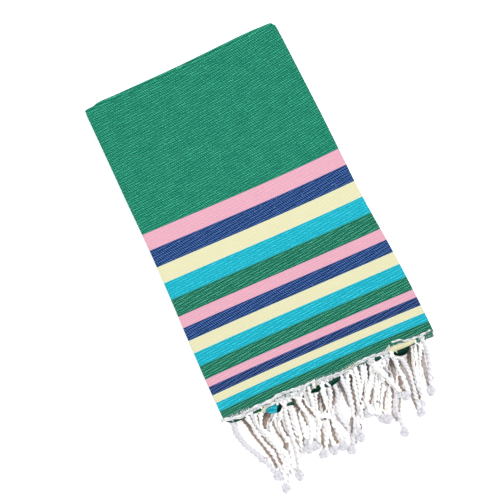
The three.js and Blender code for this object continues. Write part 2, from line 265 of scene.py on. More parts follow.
# Grooves between the strands, filled with dark strands of the lower fringe as painted shade in the gaps:
# tone, and places as x,y,width
GROOVES = table(
    """
0 | -106.5,202.5,3.4 -104.5,207,4.6 -103.5,211.5,4.6 -104,218,2.9 -103,224.5,1.8 -102,229.5,1.7
    -100.5,234.5,1.7 -99,241,1.7 -98,247,2.1 -96,253,2.1 -95.5,259.5,2.1 -95.5,266,1.4;
0 | -75,205,8 -80,209,8 -84.5,213,6.3 -87.5,218,4 -88.5,222.5,1.7;
0.2 | -89.5,203,1.7 -90.5,207.5,2.1 -92.5,214.5,1.1;
0 | -96.5,224,1.1 -95,228,1.7 -94,234,1.7 -92.5,238.5,1.5 -90.5,244,1.8 -88.5,248,2.1 -88.5,251.5,2.3
    -88.5,256.5,2.3 -89,263,2.5 -88,267.5,2.1;
0 | -77,216.5,2.3 -78,222.5,1.7 -78,227.5,1.7 -77.5,234,1.5 -75.5,237.5,1.8 -74.5,243,2.3 -74,248.5,4.6
    -79,251,3.4;
0 | -68,216,1.7 -68.5,223,2.3 -69.5,230,1.5 -69,237,1.7 -68.5,240,1.1;
0.15 | -56,215,2.3 -56.5,221,1.7 -56.5,226.5,1.7 -59,233,1.7 -59.5,238.5,2.3 -59.5,246,4 -62,251.5,4;
0 | -43.5,203.5,3.4 -45,207.5,4.6 -44,214,3.4 -43,219,4 -43,225,2.3 -43,230,1.7 -43,236.5,1.1;
0.1 | -45.5,217.5,1.7 -47.5,223,1.7 -48,227.5,1.1;
0 | -33.5,204.5,2.3 -35.5,211,3.4 -35.5,215.5,1.8 -34.5,220,2.9 -33,225,3.7 -32,229,2.3 -30.5,233,1.1;
0 | -15.5,210.5,2.3 -18.5,216.5,2.9 -21,223,2.3 -23.5,229,2.3;
0 | -13.5,214,1.7 -15.5,223,2.3 -16.5,228.5,4 -16.5,234.5,4.6;
0 | -25.5,238.5,1.7 -21.5,240.5,2.1 -17,242.5,2.1 -17.5,247,2.3 -18.5,252,2.1 -19.5,257.5,3.4
    -20.5,263.5,3.4 -20,270,2.9;
0.1 | -5.5,210,1.7 -7.5,216.5,1.5;
0 | 2,209.5,2.3 1,216.5,3.4 -2.5,224,3 -7,229.5,2.5 -9.5,234.5,1.8;
0.3 | -9.5,239.5,1.7 -8,247,1.4 -6,253.5,1.4 -4,262.5,1.1;
0.2 | 11.5,209,2.9 11.5,216.5,3.4 11.5,224.5,3.4 10,232.5,1.7 10,238.5,1.1;
0 | -30.5,246,1.1 -31.5,253.5,2.3 -34,259.5,3.4 -35.5,264.5,2.1;
0.1 | -35.5,267.5,1.7 -37,272,1.7;
0.1 | -26.5,264.5,1.1 -30,271.5,2.1 -31,277,1.7;
0 | -51,244,1.1 -54,250.5,1.4 -54.5,255,2.3 -54,261.5,1.7;
0.15 | -43,256.5,1.8 -43,262,1.7;
0.2 | -48.5,231.5,1.5 -50.5,235.5,1.5 -51.5,240,1.5;
0 | 24.5,204,2.3 26.5,207.5,3.4 25,213,3.2 22,219,1.5 21,225,2.3 19.5,232,2.7 17.5,238.5,2.1 15,245,1.6
    11,252,1.1;
0.15 | 8.5,252,2.3 4,258.5,4 2,265,2.3 -1.5,270,2.3;
0 | 45,211,5.1 43,217.5,4.6 38.5,223,3.2 34,228.5,2.9 30,234,3.2 27,238,2.9 23,243,2.3;
0 | 42.5,234,1.5 39,238.5,2.1 34.5,245.5,1.5;
0 | 45.5,202,2.9 50.5,206,1.7 53.5,210.5,2.1 54.5,215.5,1.8 55,221.5,1.6 54.5,227,2.3 53.5,231.5,3.2
    50,236,2.5 46.5,241,2.3 43,245.5,1.8 40,249.5,1.5;
0 | 54.5,242,2.3 52,246,2.1 48.5,250.5,2.1 46,255.5,2.3 44,260,1.7 42,264,1.1;
0 | 59.5,232,1.1 62,236.5,1.5 63,241,2.1 62.5,246,2.3 59,253,1.7 55,260,1.5;
0.2 | 52.5,265,1.5 51.5,271,1.7 52.5,276.5,1.1;
0 | 70,210,1.8 70,216.5,2.5 68.5,222,2.9 65.5,228.5,2.3;
0.1 | 75.5,211.5,3.4 75,219,4.6 73.5,225.5,4.6 71,232,3.4 68.5,237.5,1.7;
0 | 76.5,235,2.3 75,240.5,3.4 72.5,244.5,2.9 74.5,250,2.5 72,256,1.6;
0.15 | 65.5,257.5,2.1 62,264.5,2.5 59,270,2.1;
0 | 23.5,250,2.9 23.5,254.5,2.3;
0.15 | 17,255.5,1.5 17,259,1.4;
0.15 | 13.5,263,1.4 10.5,270.5,1.7 9,275,2.5 5.5,277,1.5;
0.15 | 84,218,2.3 83.5,224,3.4 84.5,230.5,4 85.5,236.5,2.9 85,242.5,2.7 84,249.5,2.7 83,255,1.8;
0 | 105,204,8 101.5,210,7.4 97,218,5.7 94.5,224.5,4.6 93,230,2.7 92,236,1.5 91.5,242.5,2.1 90.5,247.5,1.3
    89,252,1.3;
0 | 88.5,257,2.1 88,260.5,2.1 88,265.5,1.3 87,268.5,1.1;
0.1 | 101.5,219,1.6 100.5,224.5,2.3 98,231,1.8;
0.25 | 112,202.5,2.9 110.5,208,2.9 110,213.5,1.7;
0.15 | 113,219,1.7 109.5,227.5,3.4 107.5,234,4.3 106.5,241,3 104.5,248,1.7 103,255,1.5;
0.1 | 103,243,1.5 99,243.5,2.1;
0.1 | 81,259,2.3 80,264,1.8 80,269,1.6 79.5,274,1.1
    """
)
# Slivers of the plies below, at the cut end: place in the weave, shade (a painted shade that darkens the
# sliver's colour under the top ply), bulge, and both edges
SLIVERS = table(
    """
5 0.35 0.1 | -125.5,189.5 -121.5,192.5 -116,195 -110.5,196.5 -104.5,197.5 -101,198.5 | -126.5,192 -123,196
    -117.5,198.5 -112,199.5 -105.5,199.5 -102,199.5;
5 0.55 1.8 | -93,197 -86.5,197 -81.5,197 -78,197 | -93,199 -87,200.5 -82,200.5 -78.5,199.5;
16 0.8 1.8 | -79,202 -74,199.5 -69,199.5 -62.5,200.5 | -78,204 -75,207 -71.5,208.5 -67.5,209.5;
5 0.12 1.7 | -63.5,201 -61.5,201 -59.5,201 -58,201.5 | -68.5,210 -65.5,210 -63,209 -59,205;
5 0.35 1.3 | -53.5,205 -49,205 -44,205.5 | -54,208 -50,208.5 -46.5,210.5;
5 0.18 1.5 | -22,203.5 -17,201.5 -13,201 -8.5,201 | -23,206 -19.5,207 -15.5,208 -11.5,207;
5 0.25 1.3 | -5.5,203.5 3,202.5 9.5,202 16.5,203 | -5.5,207 -0.5,209 6.5,208 14,206.5;
5 0.3 1.3 | 58,200 63.5,200 68,201 70.5,203 | 57,203 61.5,205.5 66.5,205 70,204.5;
5 0.15 1.6 | 82,202.5 89.5,203 97,203.5 101.5,204 | 81.5,206.5 87,211 93,212 98.5,210;
26 0.97 2.6 | 75.5,199.5 81,197 88.5,197 100,199 106.5,199 111.5,199.5 | 75,201.5 79.5,203.5 84.5,204
    95.5,204.5 104,204.5 109.5,203.5
    """
)


def mix(a, b, t):
    return a + (b - a) * t


def smooth(t):
    t = np.clip(t, 0, 1)
    return t * t * (3 - 2 * t)


def share_across(x):
    return (x + HALF_WIDTH) / (2 * HALF_WIDTH)


def run_along(points):
    """How far along a course each of its points lies."""
    return np.concatenate([[0], np.cumsum(np.linalg.norm(np.diff(points, axis=0), axis=1))])


def tangents(path):
    ahead = np.gradient(path, axis=0)
    return ahead / (np.linalg.norm(ahead, axis=1, keepdims=True) + 1e-9)


def curve(rows, at, column=1):
    """Reads a column of a table at places, as a smooth curve through its rows."""
    xs = np.array([row[0] for row in rows], float)
    vs = np.array([row[column] for row in rows], float)
    slopes = np.gradient(vs, xs)
    at = np.clip(np.asarray(at, float), xs[0], xs[-1])
    i = np.clip(np.searchsorted(xs, at) - 1, 0, len(xs) - 2)
    gap = xs[i + 1] - xs[i]
    t = (at - xs[i]) / gap
    start = (2 * t**3 - 3 * t**2 + 1) * vs[i] + (t**3 - 2 * t**2 + t) * gap * slopes[i]
    return start + (3 * t**2 - 2 * t**3) * vs[i + 1] + (t**3 - t**2) * gap * slopes[i + 1]


def wave(place, swell):
    share, length, shift = swell
    return share * np.sin((place / length + shift) * 2 * np.pi)


def fine_swell(x, y):
    """A slight unevenness of all the layers together."""
    return (
        0.005 * np.sin(x / 17.0 + 0.8 * np.sin(y / 41.0))
        + 0.006 * np.sin(y / 23.0 + 1.1 * np.sin(x / 37.0 + 1.0))
        + 0.004 * np.sin((x + y) / 11.0 + 2.0)
    )


def in_towel(x, y, z):
    lift = 1 + wave(x, SWELL_X) + wave(y, SWELL_Y) + fine_swell(x, y)
    x_there = mix(curve(SIDES, y, 1), curve(SIDES, y, 2), share_across(x))
    return np.stack([x_there, y + 0 * x, z * lift], axis=-1)


def turn_y(turn, x):
    if turn == RUNS - 1:
        return curve(FAR_EDGE, x)
    left, right, round_left, round_right = LENGTH_TURNS[turn][:4]
    inward = -1 if turn % 2 else 1
    from_left = np.clip(1 - (x + HALF_WIDTH) / CORNER, 0, 1)
    from_right = np.clip(1 - (HALF_WIDTH - x) / CORNER, 0, 1)
    drawn_in = round_left * from_left**2 + round_right * from_right**2
    return mix(left, right, share_across(x)) + inward * drawn_in


def on_strip(x, turn, next_turn=None, share=0.0):
    """x across the strip where a run slides and narrows between two turns."""
    slide, narrow = LENGTH_TURNS[turn][4:]
    if next_turn is not None:
        slide = mix(slide, LENGTH_TURNS[next_turn][4], share)
        narrow = mix(narrow, LENGTH_TURNS[next_turn][5], share)
    return x * (1 - narrow / HALF_WIDTH) + slide


def run_middle(run):
    return (SHEET + STRIP_HEIGHT) / 2 + run * RUN_PITCH


def run_facing(run):
    return 1 if run % 2 else -1


def straight_y(turn, x, lag):
    if turn in (0, RUNS):
        return turn_y(turn, x) - lag
    outward = 1 if turn % 2 else -1
    return turn_y(turn, x) - outward * FOLD_REACH


def cut_wave(x):
    """How far the frayed end departs from a straight one."""
    top_lag = mix(SIDE_TURNS[1][2], SIDE_TURNS[0][2], share_across(x))
    return curve(CUT_EDGE, x) - straight_y(RUNS, x, top_lag)


def cut_y(x, lag):
    return straight_y(RUNS, x, lag) + cut_wave(x)


def ply_height(run, ply):
    return run_middle(run) + run_facing(run) * (STRIP_HEIGHT / 2 - ply * LAYER_PITCH)


TOP_PLY_FACE = ply_height(RUNS - 1, 0) + SHEET / 2


def strip_x(x, y):
    """The strip's own x for a place in the towel's frame: the taper taken out."""
    left, right = curve(SIDES, y, 1), curve(SIDES, y, 2)
    return mix(-HALF_WIDTH, HALF_WIDTH, (x - left) / (right - left))


def lift_at(x, y):
    sx = strip_x(x, y)
    return 1 + wave(sx, SWELL_X) + wave(y, SWELL_Y) + fine_swell(sx, y)


def root_height(run, ply, x):
    return max(ply_height(run, ply) * lift_at(x, ROOT_Y[run]), LOWEST_ROOT)


def ply_lag(ply, sx):
    side0, _, lag0 = SIDE_TURNS[ply]
    _, _, lag1 = SIDE_TURNS[ply + 1]
    t = share_across(sx)
    return mix(lag0, lag1, 1 - t if side0 > 0 else t)


def cut_end(run, ply):
    """Gives the y of a ply's cut end at each x, in the lowest or the topmost run."""

    def edge(x):
        sx = strip_x(x, ROOT_Y[run])
        lag = ply_lag(ply, sx)
        return float(cut_y(sx, lag) if run else straight_y(0, sx, lag))

    return edge


def even(points, count):
    """A course read at even steps from end to end."""
    run = run_along(points)
    at = np.linspace(0, run[-1], count + 1)
    return np.stack([curve(np.column_stack([run, points]), at, k) for k in (1, 2)], axis=-1)


def section():
    """The sheet's middle across the strip: rows of x, height, normal x, normal height, lag and flat."""
    reach = LAYER_PITCH / 2 + SHEET / 2
    rows = []
    flat = 0.0
    for ply in range(PLIES):
        side0, inset0, lag0 = SIDE_TURNS[ply]
        side1, inset1, lag1 = SIDE_TURNS[ply + 1]
        x0 = side0 * (HALF_WIDTH - inset0 - (0 if ply == 0 else reach))
        x1 = side1 * (HALF_WIDTH - inset1 - (0 if ply == PLIES - 1 else reach))
        height = STRIP_HEIGHT / 2 - ply * LAYER_PITCH
        facing = -side1
        steps = PLAIN_STEPS if ply else TOP_STEPS
        for i in range(steps + 1):
            t = i / steps
            rows.append((mix(x0, x1, t), height, 0, facing, mix(lag0, lag1, t), flat + t * abs(x1 - x0)))
        flat += abs(x1 - x0)
        if ply == PLIES - 1:
            break
        for i in range(1, TURN_STEPS):
            angle = math.pi / 2 - i / TURN_STEPS * math.pi
            out, up = side1 * math.cos(angle), math.sin(angle)
            x = x1 + out * LAYER_PITCH / 2
            z = height - LAYER_PITCH / 2 + up * LAYER_PITCH / 2
            along = flat + i / TURN_STEPS * math.pi * LAYER_PITCH / 2
            rows.append((x, z, facing * out, facing * up, lag1, along))
        flat += math.pi * LAYER_PITCH / 2
    return np.array(rows).T


def add_to_scene(name, data):
    thing = bpy.data.objects.new(name, data)
    bpy.context.scene.collection.objects.link(thing)
    return thing


def ring_faces(first, around, rings):
    """Faces between closed rings of points, one after another."""
    faces = []
    for a in range(first, first + (rings - 1) * around, around):
        b = a + around
        for j in range(around):
            k = (j + 1) % around
            faces.append((a + j, a + k, b + k, b + j))
    return faces


def new_object(name, points, faces, material, attributes):
    """points in the towel's frame, in millimetres."""
    mesh = bpy.data.meshes.new(name)
    mesh.from_pydata(((np.asarray(points) + SHIFT) * MM).tolist(), [], faces)
    for attribute, kind, values in attributes:
        layer = mesh.attributes.new(attribute, kind, "POINT")
        key = "vector" if kind == "FLOAT_VECTOR" else "value"
        layer.data.foreach_set(key, np.asarray(values, np.float32).ravel())
    mesh.shade_smooth()
    mesh.materials.append(material)
    mesh.update()
    return add_to_scene(name, mesh)


def weft_place(x, y):
    """How far a place on the top run is from the cut end, counted in weft."""
    sag = 1 - (x / WEFT_REACH) ** 2
    bend = -x / WEFT_REACH * sag
    straight = y + WEFT_START + WEFT_SLANT * x - WEFT_TURN * x * y
    return straight + sag * (WEFT_SAG[0] + WEFT_SAG[1] * y) - bend * (WEFT_BEND[0] + WEFT_BEND[1] * y)


def sliver_mesh(place, bulge, inner, outer):
    """A thin curved lip of cloth between two courses, closed all round."""
    steps, rows = LIP_STEPS, LIP_ROWS
    inner, outer = even(inner, steps), even(outer, steps)
    points, coords = [], []
    for side in (0, 1):
        for i in range(steps + 1):
            for j in range(rows + 1):
                t = j / rows
                x, y = mix(inner[i], outer[i], t)
                bend = bulge * math.sin(math.pi * min(0.8, t * 1.1)) * math.sin(math.pi * i / steps) ** 0.5
                top = TOP_PLY_FACE * lift_at(x, y) - LIP_SINK - LIP_DROP * t**3
                z = top + bend - LIP_THICKNESS * side
                points.append((x, y, z))
                weft = mix(place - LIP_WEFT, place + LIP_WEFT, t)
                coords.append((HALF_WIDTH - x, weft, LIP_FROM_END))
    faces = []
    row, sheet = rows + 1, (steps + 1) * (rows + 1)
    for i in range(steps):
        for j in range(rows):
            a = i * row + j
            faces.append((a, a + 1, a + row + 1, a + row))
            faces.append(tuple(sheet + k for k in (a, a + row, a + row + 1, a + 1)))
    rim = list(range(rows)) + [i * row + rows for i in range(steps)]
    rim += [steps * row + j for j in range(rows, 0, -1)] + [i * row for i in range(steps, 0, -1)]
    for k, a in enumerate(rim):
        b = rim[(k + 1) % len(rim)]
        faces.append((b, a, sheet + a, sheet + b))
    return np.array(points), faces, np.array(coords)


def run_station(run, share, length, lag):
    """Places of the sheet at a share of the way along a run, by x across and height in the strip."""

    def where(px, ph):
        y = mix(straight_y(run, px, lag), straight_y(run + 1, px, lag), share)
        if run == RUNS - 1:
            y = y + cut_wave(px) * np.clip(1 - (1 - share) * length / CUT_WAVE_DEPTH, 0, 1)
        return in_towel(on_strip(px, run, run + 1, share), y, run_middle(run) + run_facing(run) * ph)

    return where


def fold_station(turn, angle, lag):
    """Places of the sheet at an angle round a turn, by x across and height in the strip."""
    outward = 1 if turn % 2 else -1
    middle = (run_middle(turn - 1) + run_middle(turn)) / 2

    def where(px, ph):
        radius = FOLD_RADIUS + outward * ph
        y = straight_y(turn, px, lag) + outward * radius * math.cos(angle)
        return in_towel(on_strip(px, turn), y, middle + radius * math.sin(angle))

    return where


def build_cloth(material):
    x, height, nx, nh, lag, flat = section()
    half = SHEET / 2
    columns = len(x)
    sections, lengths = [], []

    def add_section(where, along):
        sections.append([where(x + sign * half * nx, height + sign * half * nh) for sign in (1, -1)])
        lengths.append(along)

    total = 0.0
    for run, steps in enumerate(RUN_STEPS):
        ends = [straight_y(turn, 0.0, MIDDLE_LAG) for turn in (run, run + 1)]
        length = float(abs(ends[1] - ends[0]))
        for i in range(steps + 1):
            add_section(run_station(run, i / steps, length, lag), total + i / steps * length)
        total += length
        if run < RUNS - 1:
            for i in range(1, FOLD_STEPS):
                angle = -math.pi / 2 + i / FOLD_STEPS * math.pi
                along = total + i / FOLD_STEPS * math.pi * FOLD_RADIUS
                add_section(fold_station(run + 1, angle, lag), along)
            total += math.pi * FOLD_RADIUS
    top_start = total - length
    first_of_top = sections[-1 - steps][0]
    turn_shift = total - weft_place(first_of_top[:, 0], first_of_top[:, 1]) - top_start
    points, coords = [], []
    for (upper, lower), along in zip(sections, lengths):
        points += [upper, lower[::-1]]
        for face in (upper, lower):
            fx, fy = face[:, 0], face[:, 1]
            seam = HALF_WIDTH - fx[TOP_STEPS]
            beyond_seam = flat - flat[TOP_STEPS] + seam
            across = np.where(np.arange(columns) <= TOP_STEPS, HALF_WIDTH - fx, beyond_seam)
            if along >= top_start - 1e-6:
                onward = total - weft_place(fx, fy)
                to_end = fy - cut_y(x, lag)
            else:
                onward = along + turn_shift * smooth((along - top_start + FIT_FROM) / FIT_LENGTH)
                to_end = np.full(columns, float(min(along, total - along)))
            values = np.stack([across, onward, to_end], axis=-1)
            coords.append(values if face is upper else values[::-1])
    points = np.concatenate(points)
    coords = np.concatenate(coords)
    ring = 2 * columns
    faces = ring_faces(0, ring, len(sections))
    last = (len(sections) - 1) * ring
    for i in range(columns - 1):
        under = ring - 1 - i
        faces.append((i, under, under - 1, i + 1))
        faces.append((last + i, last + i + 1, last + under - 1, last + under))
    # painted shade: 1 on the main cloth, less on the slivers of the plies below
    shade = np.ones(len(points))
    for place, painted_shade, bulge, inner, outer in SLIVERS:
        lip_points, lip_faces, lip_coords = sliver_mesh(place, bulge, inner, outer)
        faces += [tuple(len(points) + i for i in face) for face in lip_faces]
        points = np.concatenate([points, lip_points])
        coords = np.concatenate([coords, lip_coords])
        shade = np.concatenate([shade, np.full(len(lip_points), painted_shade)])
    attributes = [("flat", "FLOAT_VECTOR", coords), ("shade", "FLOAT", shade)]
    return new_object("towel_cloth", points, faces, material(total), attributes)


# Materials


def linear(rgb, level=LIGHT_LEVEL):
    values = [c / 255 for c in rgb]
    values = [v / 12.92 if v <= 0.04045 else ((v + 0.055) / 1.055) ** 2.4 for v in values]
    return [v / level for v in values] + [1.0]


class Graph:
    """A material's nodes."""

    def __init__(self, name):
        self.material = bpy.data.materials.new(name)
        self.material.use_nodes = True
        self.tree = self.material.node_tree
        self.shader = self.tree.nodes["Principled BSDF"]

    def node(self, kind, inputs=None, **settings):
        node = self.tree.nodes.new(kind)
        for key, value in settings.items():
            setattr(node, key, value)
        self.feed(node, inputs or {})
        return node

    def feed(self, node, inputs):
        for key, value in inputs.items():
            if isinstance(value, bpy.types.NodeSocket):
                self.tree.links.new(value, node.inputs[key])
            else:
                node.inputs[key].default_value = value

    def finished(self, inputs):
        self.feed(self.shader, inputs)
        return self.material

    def attribute(self, name, output):
        return self.node("ShaderNodeAttribute", attribute_name=name).outputs[output]

    def math(self, operation, a, b=0.0, c=0.0, clamp=False):
        inputs = {0: a, 1: b, 2: c}
        return self.node("ShaderNodeMath", inputs, operation=operation, use_clamp=clamp).outputs[0]

    def product(self, a, b):
        return self.math("MULTIPLY", a, b)

    def between(self, value, low, high, out_low=0.0, out_high=1.0):
        inputs = {"Value": value, "From Min": low, "From Max": high, "To Min": out_low, "To Max": out_high}
        return self.node("ShaderNodeMapRange", inputs, interpolation_type="SMOOTHSTEP").outputs["Result"]

    def noise(self, vector, scale, detail, roughness=0.5):
        inputs = {"Vector": vector, "Scale": scale, "Detail": detail, "Roughness": roughness}
        return self.node("ShaderNodeTexNoise", inputs).outputs["Fac"]

    def mixed(self, factor, a, b, blend="MIX"):
        node = self.node("ShaderNodeMix", data_type="RGBA", blend_type=blend)
        self.feed(node, {"Factor": factor, "A": a, "B": b})
        return node.outputs["Result"]

    def times(self, colour, factor):
        grey = self.node("ShaderNodeCombineColor", {0: factor, 1: factor, 2: factor}).outputs[0]
        return self.mixed(1.0, colour, grey, "MULTIPLY")

    def grain(self, vector, sizes, detail=0, roughness=0.5, offset=(0.0, 0.0, 0.0)):
        """Noise whose grains have these sizes."""
        inputs = {"Vector": vector, "Scale": [1 / size for size in sizes], "Location": offset}
        place = self.node("ShaderNodeMapping", inputs).outputs["Vector"]
        return self.noise(place, 1.0, detail, roughness)

    def bump(self, height, strength, distance):
        inputs = {"Height": height, "Strength": strength, "Distance": distance}
        return self.node("ShaderNodeBump", inputs).outputs["Normal"]

    def ramp(self, at, stops, interpolation="LINEAR"):
        """Reads a colour from stops, each a place and a colour, the first at 0."""
        node = self.node("ShaderNodeValToRGB", {"Fac": at})
        node.color_ramp.interpolation = interpolation
        elements = node.color_ramp.elements
        elements.remove(elements[1])
        elements[0].position = 0
        elements[0].color = stops[0][1]
        for place, colour in stops[1:]:
            elements.new(place).color = colour
        return node.outputs["Color"]


def band_number(graph, place):
    """Which band a distance from the cut end is in, from 0."""
    number = 0.0
    for reach, _ in BANDS[:-1]:
        number = graph.math("ADD", number, graph.math("GREATER_THAN", place, reach))
    return number


def weave_tones(rgb, contrast):
    """The yarn in the hollows, darker as painted shade, and the yarn with the white warp that shows on the
    crests.
    """
    mean = linear(rgb)[:3]
    dark = [value * (1 - contrast) * (0.15 if value < 0.04 else 1) for value in mean]
    light = [d + (value - d) / PATTERN_MEAN for d, value in zip(dark, mean)]
    return dark + [1.0], light + [1.0]


def by_band(graph, number, values):
    """What a band has of some quality, given as one colour for each band."""
    count = len(BANDS)
    place = graph.math("DIVIDE", graph.math("ADD", number, 0.5), count)
    return graph.ramp(place, [(i / count, value) for i, value in enumerate(values)], "CONSTANT")


def cloth_material(flat_length):
    g = Graph("striped_cotton_weave")
    split = g.node("ShaderNodeSeparateXYZ", {"Vector": g.attribute("flat", "Vector")})
    u, along, to_end = split.outputs
    from_cut = g.math("MINIMUM", along, g.math("SUBTRACT", flat_length, along))
    plane = g.node("ShaderNodeCombineXYZ", {0: u, 1: along}).outputs[0]
    # band edges follow the weft, with small steps
    edge_noise = g.grain(plane, (3, 9, 1), 1)
    place = g.math("ADD", from_cut, g.math("MULTIPLY_ADD", edge_noise, 0.5, -0.25))
    number = band_number(g, place)
    starts = [0.0] + [reach for reach, _ in BANDS[:-1]]
    # reaches go through a colour as metres
    limits = by_band(g, number, [(s / 1000, e / 1000, 0, 1) for s, (e, _) in zip(starts, BANDS)])
    limit = g.node("ShaderNodeSeparateColor", {"Color": limits})
    past_start = g.math("SUBTRACT", place, g.product(limit.outputs[0], 1000.0))
    before_next = g.math("SUBTRACT", g.product(limit.outputs[1], 1000.0), place)
    at_edge = g.between(g.math("MINIMUM", past_start, before_next), *EDGE_WIDTH)

    # threads over and under
    yarns = [YARN_TONES[name] for _, name in BANDS]
    strengths = by_band(g, number, [(*yarn[3], 1) for yarn in yarns])
    strength = g.node("ShaderNodeSeparateColor", {"Color": strengths}).outputs
    drift = g.grain(plane, (70, 30, 1), 1)
    weave = 0.0
    for i, (across, onward) in enumerate(LATTICE):
        cycles = g.math("MULTIPLY_ADD", along, onward, g.product(u, across))
        cycles = g.math("MULTIPLY_ADD", drift, 0.6 + 0.2 * i, cycles)
        wave_here = g.math("COSINE", g.product(cycles, 2 * math.pi))
        weave = g.math("MULTIPLY_ADD", wave_here, strength[i], weave)
    strength_drift = g.grain(plane, (14, 9, 1), 2, offset=(5.0, 2.0, 0.0))
    weave = g.product(weave, g.between(strength_drift, 0.3, 0.7, 0.8, 1.25))
    weave = g.product(weave, g.between(from_cut, 10.0, 160.0, 1.3, 1.0))
    dots = g.grain(plane, (1.4, 1.1, 1))
    dashes = g.grain(plane, (3.6, 1.2, 1), 1)
    blotch = g.grain(plane, (16, 12, 1), 3, 0.55)
    pattern = g.math("ADD", weave, PATTERN_MIDDLE)
    for noise, share in ((dots, 0.8), (dashes, 0.5), (blotch, 0.3)):
        pattern = g.math("MULTIPLY_ADD", g.math("SUBTRACT", noise, 0.5), share, pattern)
    pattern = g.math("ADD", pattern, 0.0, clamp=True)
    pattern = g.product(pattern, pattern)
    tones = [weave_tones(mean, contrast) for mean, contrast, _, _ in yarns]
    # the dark tone in the weave's hollows is partly painted shade between the ribs
    dark = by_band(g, number, [tone[0] for tone in tones])
    light = by_band(g, number, [tone[1] for tone in tones])
    colour = g.mixed(pattern, dark, light)
    edge_tones = by_band(g, number, [linear(yarn[2]) for yarn in yarns])
    colour = g.mixed(g.product(at_edge, 0.5), colour, edge_tones)
    # painted shade: the cloth is made a little darker towards the cut ends
    colour = g.times(colour, g.between(from_cut, 0.0, 240.0, 0.95, 1.0))
    # the yarn is greyer here and there
    worn = g.between(g.grain(plane, (9, 6, 1), 3, 0.6, (2.0, 8.0, 0.0)), 0.56, 0.72)
    worn = g.product(worn, g.between(dots, 0.6, 0.4))
    worn = g.product(worn, g.between(strength[1], 0.15, 0.23))
    colour = g.mixed(g.product(worn, 0.35), colour, linear(WORN_TONE), "MULTIPLY")

    # pale warp ends near the cut end, and rare pale specks
    ticks = g.between(g.grain(plane, (0.7, 3.2, 1)), 0.5, 0.6)
    ticks = g.product(ticks, g.product(g.between(to_end, *TICK_REACH), 0.6))
    colour = g.mixed(ticks, colour, linear(TICK_TONE))
    specks = g.between(g.grain(plane, (1.5, 1.3, 1), offset=(7.0, 3.0, 0.0)), 0.82, 0.86)
    colour = g.mixed(g.product(specks, 0.6), colour, linear(SPECK_TONE))
    height = g.math("MULTIPLY_ADD", weave, 0.8, g.product(dots, 0.5))
    # the colour is multiplied by the painted shade of the slivers
    return g.finished(
        {
            "Base Color": g.times(colour, g.attribute("shade", "Fac")),
            "Roughness": 0.92,
            "Specular IOR Level": 0.04,
            "Normal": g.bump(height, 0.5, 0.0003),
        }
    )


def fringe_material():
    g = Graph("fringe_cotton_twist")
    lay = g.attribute("lay", "Vector")
    fibre = g.grain(lay, (0.22, 0.22, 3.0), 2, 0.6)
    patch = g.grain(lay, (2.0, 2.0, 1.2), 1)
    stops = [(place, linear(rgb, level)) for place, rgb, level in THREAD_TONES]
    shade = g.math("MULTIPLY_ADD", fibre, 0.1, g.math("MULTIPLY_ADD", patch, 0.06, 0.92))
    return g.finished(
        {
            "Base Color": g.times(g.ramp(g.attribute("tone", "Fac"), stops), shade),
            "Roughness": 0.9,
            "Specular IOR Level": 0.2,
            "Subsurface Weight": 0.8,
            "Subsurface Radius": (1.0, 0.9, 0.8),
            "Subsurface Scale": 0.0012,
            "Normal": g.bump(fibre, 0.4, 0.0004),
        }
    )


def floor_material():
    g = Graph("pale_floor")
    grain = g.noise(g.node("ShaderNodeTexCoord").outputs["Object"], 900.0, 2)
    return g.finished(
        {
            "Base Color": g.mixed(grain, (0.93, 0.93, 0.93, 1), (0.96, 0.96, 0.96, 1)),
            "Roughness": 0.9,
            "Specular IOR Level": 0.1,
            "Emission Color": (1, 1, 1, 1),
            "Emission Strength": FLOOR_GLOW,
        }
    )


# Strands


class Threads:
    """Collects tubes into one mesh, with each point's lay along its thread and its tone."""

    def __init__(self):
        self.points, self.faces, self.lay, self.tone = [], [], [], []
        self.count = 0

    def tube(self, path, radius, sides=10, waist=1.0, pitch=9.0, phase=0.0, tone=1.0):
        path = np.asarray(path, float)
        n = len(path)
        radius = np.broadcast_to(np.asarray(radius, float), (n,))
        tangent, run = tangents(path), run_along(path)
        side = np.cross(tangent[0], (0.0, 0.0, 1.0))
        if np.linalg.norm(side) < 0.2:
            side = np.cross(tangent[0], (1.0, 0.0, 0.0))
        angles = np.arange(sides) / sides * 2 * np.pi
        for i in range(n):
            side = side - tangent[i] * np.dot(side, tangent[i])
            side /= np.linalg.norm(side) + 1e-9
            over = np.cross(side, tangent[i])
            twist = phase + run[i] / pitch * 2 * np.pi
            turned = angles - twist
            r = radius[i] * (waist + (1 - waist) * (0.5 + 0.5 * np.cos(2 * turned)))
            ring = path[i] + np.outer(r * np.cos(angles), side) + np.outer(r * np.sin(angles), over)
            self.points.append(ring)
            onward = np.full(sides, run[i] / 8 + phase)
            self.lay.append(np.stack([np.cos(turned), np.sin(turned), onward], axis=-1))
        self.tone.append(np.full(n * sides, tone * TONE_SCALE))
        self.faces += ring_faces(self.count, sides, n)
        self.faces.append(tuple(self.count + j for j in range(sides))[::-1])
        self.faces.append(tuple(self.count + (n - 1) * sides + j for j in range(sides)))
        self.count += n * sides

    def build(self, name, material):
        lay, tone = np.concatenate(self.lay), np.concatenate(self.tone)
        attributes = [("lay", "FLOAT_VECTOR", lay), ("tone", "FLOAT", tone)]
        return new_object(name, np.concatenate(self.points), self.faces, material, attributes)


